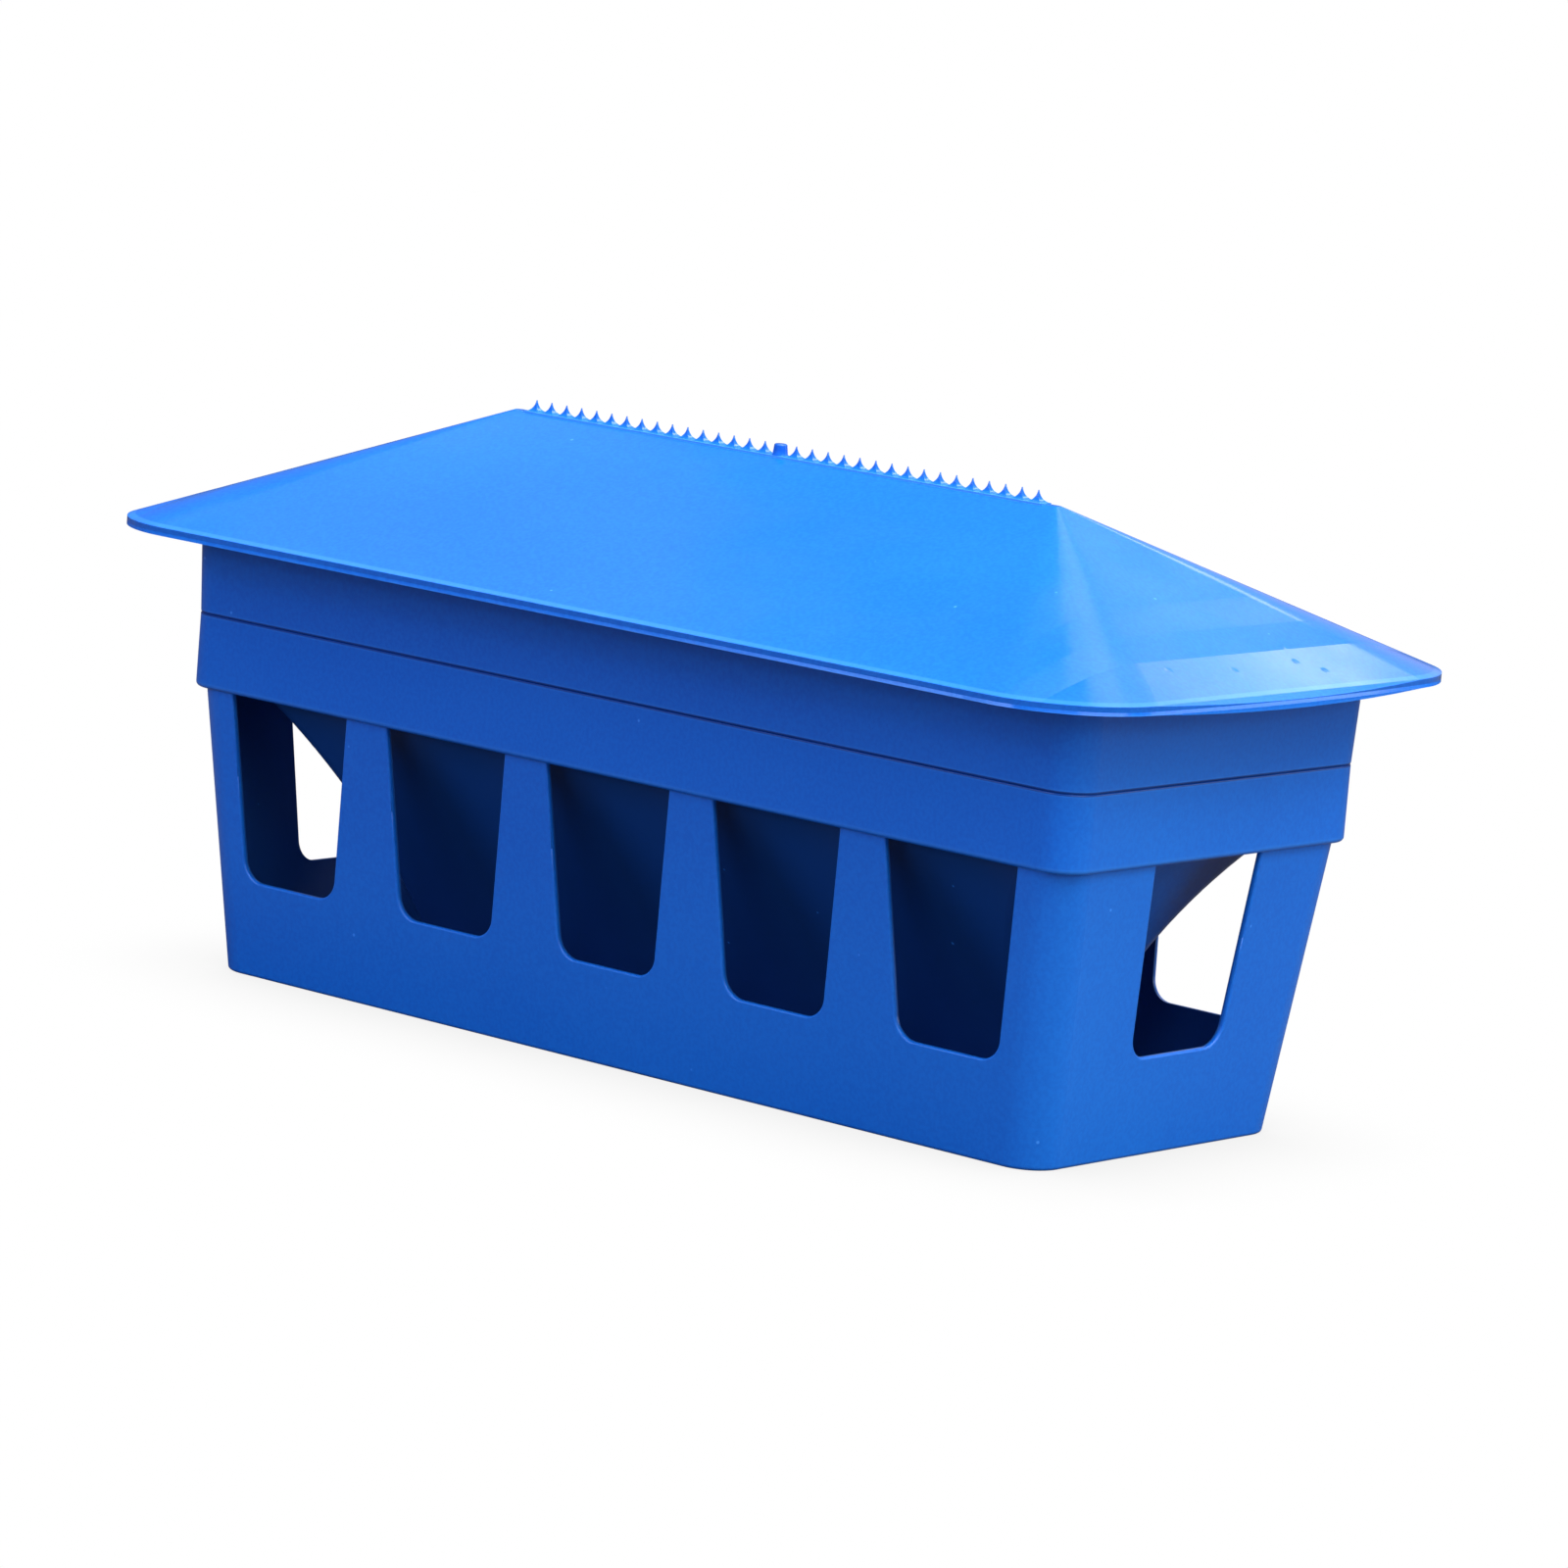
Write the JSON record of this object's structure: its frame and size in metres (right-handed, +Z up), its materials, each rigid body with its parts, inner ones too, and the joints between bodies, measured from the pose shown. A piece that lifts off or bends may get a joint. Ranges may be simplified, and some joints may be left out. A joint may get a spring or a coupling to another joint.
{
  "type": "automatic pigeon feeder",
  "caption": "Covered gravity pigeon feeder: a long plastic tray with head-sized windows, a lift-out seed hopper with a slotted funnel, and a hipped roof lid with a spiked ridge.",
  "frame": {"origin": "middle of the tray's underside, where the feeder stands on the ground", "axes": "+X along the long side, +Z up, -Y towards the front row of windows"},
  "size_m": [0.412, 0.2016, 0.1918],
  "materials": {
    "tray_plastic": "semi-gloss blue moulded polypropylene",
    "hopper_plastic": "semi-gloss blue moulded polypropylene",
    "lid_plastic": "semi-gloss blue moulded polypropylene"
  },
  "bodies": {
    "tray": {"feeding_tray": "tray_plastic"},
    "hopper": {"seed_hopper": "hopper_plastic"},
    "lid": {"roof_lid": "lid_plastic"}
  },
  "joints": [
    {"name": "hopper_lift", "type": "slide", "parent": "tray", "child": "hopper", "axis": [0, 0, 1], "range_m": [0, 0.11]},
    {"name": "lid_lift", "type": "slide", "parent": "hopper", "child": "lid", "axis": [0, 0, 1], "range_m": [0, 0.06]}
  ]
}
